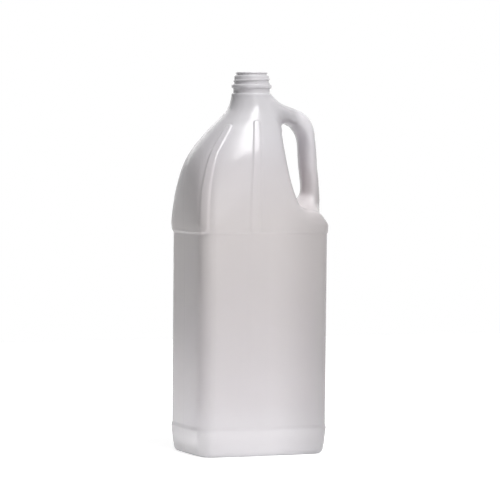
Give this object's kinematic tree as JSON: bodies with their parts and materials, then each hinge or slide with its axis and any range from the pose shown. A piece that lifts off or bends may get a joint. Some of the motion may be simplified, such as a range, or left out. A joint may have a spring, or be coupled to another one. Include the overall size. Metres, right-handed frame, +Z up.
{
  "type": "plastic jug",
  "caption": "Blow-moulded rectangular jug with a leaning shoulder, a hollow side handle, raised ribs and an open screw neck.",
  "frame": {"origin": "centre of the base, on the plane it stands on, on the axis of the neck", "axes": "+Z up along the neck's axis, +X towards the handle, -X towards the pouring side, XZ the parting plane"},
  "size_m": [0.1495, 0.1002, 0.3915],
  "materials": {
    "body": "white blow-moulded polyethylene, soft sheen"
  },
  "bodies": {
    "root": {"jug_body": "body"}
  },
  "joints": []
}
